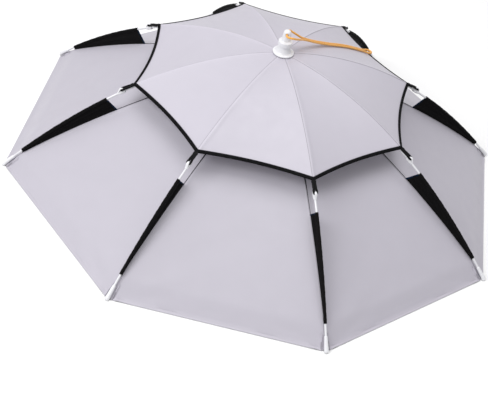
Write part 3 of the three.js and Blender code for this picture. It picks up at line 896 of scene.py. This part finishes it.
def hem_tape(points, normals, cloth_side):
    outside, inside = tape_section()
    across = travelled(outside)
    edge_distances = [min(distance, across[-1] - distance) for distance in across] + [0.0] * len(inside)
    count = len(points)
    loops, uv, along = [], [], 0.0
    for index, (point, normal) in enumerate(zip(points, normals)):
        following = points[(index + 1) % count]
        before = (point - points[index - 1]).cross(normal).normalized() * cloth_side
        after = (following - point).cross(normal).normalized() * cloth_side
        inward = (before + after) / (1 + before.dot(after))
        loops.append([point + inward * into + normal * up for into, up in outside + inside])
        uv += [(distance, along) for distance in edge_distances]
        along += (following - point).length
    return sweep(loops, closed=True), uv, along


# The surface's normal at a place on a panel, from the places round it
def cloth_normal(panel, level, share, height_at):
    reach, turn = 0.0005, 0.004

    def near(out, over):
        new_level, new_share = level + out * reach, share + over * turn
        return panel_point(panel, new_level, new_share, height_at(new_level, new_share))

    across = near(0, 1) - near(0, -1)
    if share == 0:
        across = Vector((-math.sin(rib_turn(panel)), math.cos(rib_turn(panel)), 0))
    return (near(1, 0) - near(-1, 0)).cross(across).normalized()


def hem_line(hem_level, height_at):
    points, normals = [], []
    for panel in range(RIB_COUNT):
        for share in panel_shares(hem_level(0), [0, 0.004, 0.008, 0.014], [0.004, 0.008, 0.014], 22):
            level = hem_level(share)
            points.append(panel_point(panel, level, share, height_at(level, share)))
            normals.append(cloth_normal(panel, level, share, height_at))
    return points, normals


def upper_middle(level, share):
    return upper_height(level, share, CLOTH / 2)


def lower_middle(level, share):
    return lower_height(level, share, -LOWER_TOP_DEPTH - CLOTH / 2)


def upper_tape(material):
    body, uv, length = hem_tape(*hem_line(upper_hem_level, upper_middle), -1)
    return new_piece(
        "upper_tape", body, material, ["upper_binding"], uv, "tape", (0, length), sharp=50)


# The lower hem's tape, with a tail along the top of each seam
def lower_tape(material):
    hem, uv, length = hem_tape(*hem_line(lambda share: LOWER_HEM_RADIUS, lower_middle), 1)
    steps = 40
    radii = [lerp(LOWER_HEM_RADIUS + 0.003, TAIL_END, step / steps) for step in range(steps + 1)]
    line = [Vector((radius, 0, lower_height(radius, 0, TAIL_RIDE))) for radius in radii]
    sections = [
        flat_round(lerp(TAIL_WIDTH, TAIL_END_WIDTH, smooth_step(0.4, 0.8, step / steps)), TAIL_THICKNESS)
        for step in range(steps + 1)
    ]
    tail = swept(line, sections)
    body = joined([hem, *(turned(tail, index) for index in range(RIB_COUNT))])
    uv += strip_uv(line, sections) * RIB_COUNT
    return new_piece(
        "lower_tape", body, material, ["lower_binding"], uv, "tape", (0, length), sharp=50)


# Mesh gussets

def gusset_fold(down, outward, phase):
    total = 0
    for fold in GUSSET_FOLDS:
        turns = fold["down"] * down + fold["outward"] * outward
        total += fold["size"] * math.sin(2 * math.pi * turns + fold["phase"] * phase)
    return total


def sleeve_radius(step, phase):
    radius = GUSSET_SLEEVE
    for gather in GUSSET_GATHERS:
        radius += gather["size"] * math.sin(gather["pace"] * step + gather["phase"] * phase)
    return radius


# Black net between a rib and the seam under it, sewn round the rib and gathered a little
def mesh_gusset(index, net, hem_net):
    columns = []
    steps, drops = 60, 12
    phase = GUSSET_PHASE * index
    for step in range(steps + 1):
        share = step / steps
        upper = lerp(GUSSET_START, MESH_END, share)
        lower = lerp(GUSSET_START - GUSSET_SLANT, MESH_END, share)
        top = Vector((upper, 0, rib_height(upper) - upright(upper, RIB_RADIUS)))
        foot = Vector((lower, 0, lower_height(lower, 0, GUSSET_FOOT)))
        column = []
        for drop in range(drops + 1):
            down = drop / drops
            point = top.lerp(foot, down)
            slack = GUSSET_WAVE * hump(down) * (1 - share) ** 0.5
            point.y = slack * gusset_fold(down, share, phase) - MESH / 2
            column.append(point)
        columns.append(column)
    sheet = sheet_body(columns, MESH, closed=False)
    line = rib_line(GUSSET_START, MESH_END, steps)
    radii = [sleeve_radius(step, phase) for step in range(steps + 1)]
    hem_top, hem_foot = columns[0][0], columns[0][-1]
    hem = [hem_top.lerp(hem_foot, step / 8) for step in range(9)]
    for point in hem:
        point.y = 0
    edge = swept(hem, [flat_round(GUSSET_HEM_WIDTH, GUSSET_HEM_THICKNESS)] * len(hem))
    body = turned(joined([sheet, tube(line, radii, 16), edge]), index)
    gusset = new_piece(f"gusset_{index}", body, net, [f"mesh_gusset_{index}"])
    gusset.data.materials.append(hem_net)
    edge_faces = len(edge[1])
    for polygon in gusset.data.polygons[-edge_faces:]:
        polygon.material_index = 1


# Pocket for a cap: a patch under it, with a wall on each side and a sewn flange.
# Its UV map puts the outer part of its walls on the painted shadow line beside a seam, and the rest clear of
# it.
def pocket(index, material):
    end = LOWER_CORNER_RADIUS - POCKET_SETBACK
    steps = 14
    wall_foot = 0.0005
    clear_of_shadow_line = 0.001
    columns, uv = [], []
    for step in range(steps + 1):
        share = step / steps
        radius = lerp(end - POCKET_LENGTH, end, share)
        half = lerp(POCKET_TOP_WIDTH, POCKET_END_WIDTH, share) / 2
        rise = lerp(POCKET_TOP_RISE, POCKET_END_RISE, smooth_step(0, 0.3, share))
        outline = [
            (half + POCKET_FLANGE, 0), (half + POCKET_FLANGE * 0.4, 0.00002), (half + 0.0003, 0.0006),
            (half, rise * 0.6), (half - 0.0002, rise), (half - POCKET_CLOTH, rise * 0.98),
            (half - POCKET_CLOTH, rise * 0.5), (half - POCKET_CLOTH - 0.0004, 0.0004),
        ]
        profile = [*outline, *((-across, up) for across, up in reversed(outline))]
        columns.append([pocket_point(radius, across, up + POCKET_PATCH) for across, up in profile])
        for _, up in profile:
            # Painted shadow: the outer part of each wall takes the seam's dark shadow line
            on_shadow_line = up > wall_foot and share > POCKET_SHADOW_LINE_START
            beside = SEAM_BEFORE if on_shadow_line else SEAM_BEFORE + clear_of_shadow_line
            uv.append((1 - beside / (radius * CHORD), radius))
    body = sheet_body(columns, POCKET_PATCH, closed=False)
    new_piece(f"pocket_{index}", turned(body, index), material, [], uv * 2)


def pocket_point(radius, across, up):
    level = radius + abs(across) * math.tan(PITCH / 2)
    share = abs(across) / (level * CHORD)
    normal = Vector((rib_fall(radius), 0, 1)).normalized()
    return Vector((radius, across, lower_top(level, share))) + normal * up


# Elastic ties and the clips that they hook on

def rib_seat(radius):
    place = Matrix.Translation((radius, 0, rib_height(radius)))
    return place @ Matrix.Rotation(math.atan(rib_fall(radius)), 4, "Y")


def seated(body, index):
    points, faces = body
    seat = Matrix.Rotation(rib_turn(index), 4, "Z") @ rib_seat(CLIP_SEAT)
    return [seat @ point for point in points], faces


def tie_clip(index, material):
    line = [Vector((along, 0, 0)) for along, _ in CLIP_OUTLINE]
    sleeve = tube(line, [radius for _, radius in CLIP_OUTLINE], 28)
    steps = 4
    route = spline([(stop["along"], 0, stop["height"]) for stop in HOOK_ROUTE], steps)
    sections = []
    for step in range(len(route)):
        first = min(step // steps, len(HOOK_ROUTE) - 2)
        share = step / steps - first
        width = lerp(HOOK_ROUTE[first]["width"], HOOK_ROUTE[first + 1]["width"], share)
        sections.append(flat_round(width, HOOK_THICKNESS))
    hook = swept(route, sections, Vector((-1, 0, 0)))
    body = seated(joined([sleeve, hook]), index)
    new_piece(f"clip_{index}", body, material, [f"tie_clip_{index}"])


# One strand each side, out of the hem's tape, round the clip's hook and back, with a sewn tab at the hem
def corner_tie(index, material):
    corner = Vector((UPPER_CORNER_RADIUS, 0, upper_height(UPPER_CORNER_RADIUS, 0, CLOTH / 2)))
    hem = rib_seat(CLIP_SEAT).inverted() @ corner
    apart = TIE_APART / 2
    out = [
        (hem.x - 0.0015, apart * 0.8, hem.z), (hem.x + 0.003, apart * 0.85, hem.z - 0.0001),
        (hem.x * 0.55, apart * 0.96, lerp(TIE_HEIGHT, hem.z, 0.5)), (hem.x * 0.3, apart, TIE_HEIGHT),
        (hem.x * 0.15, apart * 1.2, TIE_HEIGHT), (-0.0008, TIE_BEND_RADIUS * 0.95, TIE_HEIGHT),
        (TIE_BEND_RADIUS * 0.6, TIE_BEND_RADIUS * 0.82, TIE_HEIGHT),
    ]
    route = [*out, (TIE_BEND_RADIUS, 0, TIE_HEIGHT), *((x, -y, z) for x, y, z in reversed(out))]
    line = spline(route, 6)
    sections = [flat_round(TIE_WIDTH, TIE_THICKNESS)] * len(line)
    strand = swept(line, sections)
    tab_steps = 6
    tab_line, tab_sections = [], []
    for step in range(tab_steps + 1):
        share = step / tab_steps
        tab_line.append(Vector((hem.x - 0.0006 + share * TAB_LENGTH, 0, hem.z)))
        swell = 0.86 + 0.14 * hump(share) ** 0.4
        tab_sections.append(flat_round(TAB_WIDTH * swell, TAB_THICKNESS * swell, 16))
    body = seated(joined([strand, swept(tab_line, tab_sections)]), index)
    uv = strip_uv(line, sections) + strip_uv(tab_line, tab_sections)
    new_piece(f"tie_{index}", body, material, [f"corner_tie_{index}"], uv, "tape")


# Finial: its outline with each turn rounded, then the cord's hole

def rounded_outline(turns):
    steps = 5
    outline = [turns[0][0]]
    for (before, _), (corner, radius), (after, _) in zip(turns, turns[1:], turns[2:]):
        back, onward = before - corner, after - corner
        reach = min(radius, back.length * 0.45, onward.length * 0.45)
        start = corner + back.normalized() * reach
        finish = corner + onward.normalized() * reach
        for step in range(steps + 1):
            share = step / steps
            outline.append(start.lerp(corner, share).lerp(corner.lerp(finish, share), share))
    outline.append(turns[-1][0])
    return outline


def turned_body(outline, segments):
    loops = []
    for step in range(segments):
        turn = 2 * math.pi * step / segments
        loops.append([Vector((x * math.cos(turn), x * math.sin(turn), z)) for x, z in outline])
    return sweep(loops, closed=True)


def finial(material):
    base = FINIAL_BASE
    top = base + FINIAL_HEIGHT
    axis = 0.0001
    turns = [(Vector((axis, FINIAL_FOOT)), 0), (Vector((STEM_RADIUS, FINIAL_FOOT)), 0.0006)]
    turns.append((Vector((STEM_RADIUS, base)), 0.0004))
    turns += [
        (Vector((row["radius"] * FINIAL_RADIUS, base + row["height"] * FINIAL_HEIGHT)), row["round"])
        for row in FINIAL_OUTLINE
    ]
    turns.append((Vector((axis, top)), 0))
    body = turned_body(rounded_outline(turns), 72)
    piece = new_piece("top_finial", body, material, ["finial"], sharp=50)
    hole_height = base + CORD_HOLE_SHARE * FINIAL_HEIGHT
    line = [Vector((0, along, hole_height)) for along in (-FINIAL_RADIUS, FINIAL_RADIUS)]
    cutter = bpy.data.objects.new("hole", bpy.data.meshes.new("hole"))
    points, faces = tube(line, [CORD_HOLE_RADIUS] * 2, 32)
    cutter.data.from_pydata([tuple(point) for point in points], [], faces)
    bpy.context.collection.objects.link(cutter)
    cut = piece.modifiers.new("Hole", "BOOLEAN")
    cut.operation = "DIFFERENCE"
    cut.object = cutter
    bpy.context.view_layer.update()
    made = bpy.data.meshes.new_from_object(piece.evaluated_get(bpy.context.evaluated_depsgraph_get()))
    piece.modifiers.clear()
    piece.data = made
    bpy.data.objects.remove(cutter)


def head_band(material):
    section = [
        Vector((BAND_RADIUS + across, (BAND_BOTTOM + BAND_TOP) / 2 + up))
        for across, up in flat_round(BAND_THICKNESS, BAND_TOP - BAND_BOTTOM, 48, 0.4)
    ]
    segments = 144
    girth = 2 * math.pi * BAND_RADIUS
    body = turned_body(section, segments)
    uv = [(girth * step / segments, place.y) for step in range(segments) for place in section]
    new_piece("band", body, material, ["headband"], uv, "knit", (girth, 0))


# A moulded piece whose CAD shape stays: its edges are rounded
def soften(node, finish):
    for slot in node.material_slots:
        slot.material = finish
    rounding = node.modifiers.new("Rounding", "BEVEL")
    rounding.width = 0.0005
    rounding.segments = 3
    rounding.limit_method = "ANGLE"
    rounding.harden_normals = True


def add_camera():
    data = bpy.data.cameras.new("Camera")
    data.lens = CAMERA_LENS
    data.sensor_width = CAMERA_SENSOR
    data.clip_start = 0.01
    camera = bpy.data.objects.new("Camera", data)
    heading = Matrix.Rotation(CAMERA_HEADING - math.pi / 2, 4, "Z")
    pitch = Matrix.Rotation(math.pi / 2 - CAMERA_PITCH, 4, "X")
    roll = Matrix.Rotation(CAMERA_ROLL, 4, "Z")
    camera.matrix_world = Matrix.Translation(CAMERA_PLACE) @ heading @ pitch @ roll
    bpy.context.collection.objects.link(camera)
    bpy.context.scene.camera = camera


def add_cord(material):
    line = spline(CORD_ROUTE, 8)
    sides = 16
    body = tube(line, [CORD_DIAMETER / 2] * len(line), sides)
    along = travelled(line)
    uv = [(side / sides, distance / CORD_DIAMETER) for distance in along for side in range(sides)]
    cord = new_piece("hang_cord", body, material, ["hang_loop"], uv, "braid", (1, 0))


def add_stage():
    bpy.ops.mesh.primitive_plane_add(size=FLOOR_SIZE, location=(0, 0, 0))
    floor = bpy.context.object
    floor.name = "floor"
    floor.data.materials.append(new_material("Pale floor", (0.9, 0.9, 0.9), 0.9))
    world = bpy.data.worlds.new("Studio")
    world.use_nodes = True
    background = world.node_tree.nodes["Background"]
    background.inputs["Color"].default_value = (1, 1, 1, 1)
    background.inputs["Strength"].default_value = WORLD_STRENGTH
    bpy.context.scene.world = world
    bpy.context.scene.view_settings.view_transform = "Standard"
    for light in LIGHTS:
        add_light(**light)


def add_light(name, place, size, power):
    data = bpy.data.lights.new(name, "AREA")
    data.size = size
    data.energy = power
    light = bpy.data.objects.new(name, data)
    light.location = place
    light.rotation_euler = (-Vector(place)).to_track_quat("-Z", "Y").to_euler()
    bpy.context.collection.objects.link(light)


def main():
    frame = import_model()

    # One coated cloth in two copies: the upper copy painted lighter and the lower copy painted darker, as
    # painted light and shade
    lit_upper_fabric = cloth_material("Coated cloth lit above", color=(0.499, 0.477, 0.54), seam_shadow_and_stitch_tone=0.45)
    shaded_lower_fabric = cloth_material("Coated cloth shaded below", color=(0.464, 0.444, 0.503), seam_shadow_and_stitch_tone=0.45)
    tape = tape_material(
        "Black binding tape", color=(0.004, 0.004, 0.0045), worn=(0.012, 0.012, 0.014),
        thread=(0.025, 0.025, 0.028),
    )
    elastic = elastic_material("Black elastic", color=(0.003, 0.003, 0.0035), worn=(0.012, 0.012, 0.013))
    net = net_material("Black net", thread=(0.008, 0.0075, 0.008), hole=(0.0015, 0.0014, 0.0016))
    hem_net = net_material("Blue-black net hem", thread=(0.006, 0.018, 0.045), hole=(0.003, 0.009, 0.022))
    white = plastic_material("White moulded plastic", color=(0.745, 0.745, 0.775), roughness=0.32)
    rod = plastic_material("White rod", color=(0.72, 0.72, 0.75), roughness=0.26)
    orange = cord_material("Orange elastic cord", color=(0.95, 0.49, 0.097), shade=(0.73, 0.315, 0.045))
    knit = knit_material("Black knitted elastic", color=(0.01, 0.01, 0.012), worn=(0.035, 0.035, 0.04))

    add_camera()
    add_cord(orange)
    upper_canopy = upper_cloth(lit_upper_fabric)
    lower_canopy = lower_cloth(shaded_lower_fabric)
    upper_hem = upper_tape(tape)
    lower_hem = lower_tape(tape)
    for index in range(RIB_COUNT):
        rib_rod(index, rod)
        rib_cap(index, white)
        mesh_gusset(index, net, hem_net)
        pocket(index, shaded_lower_fabric)
        tie_clip(index, white)
        corner_tie(index, elastic)
    finial(white)
    head_band(knit)
    for name in ("hub", *(f"strut_{index}" for index in range(RIB_COUNT))):
        soften(frame["nodes"][name], white)
    add_stage()


main()
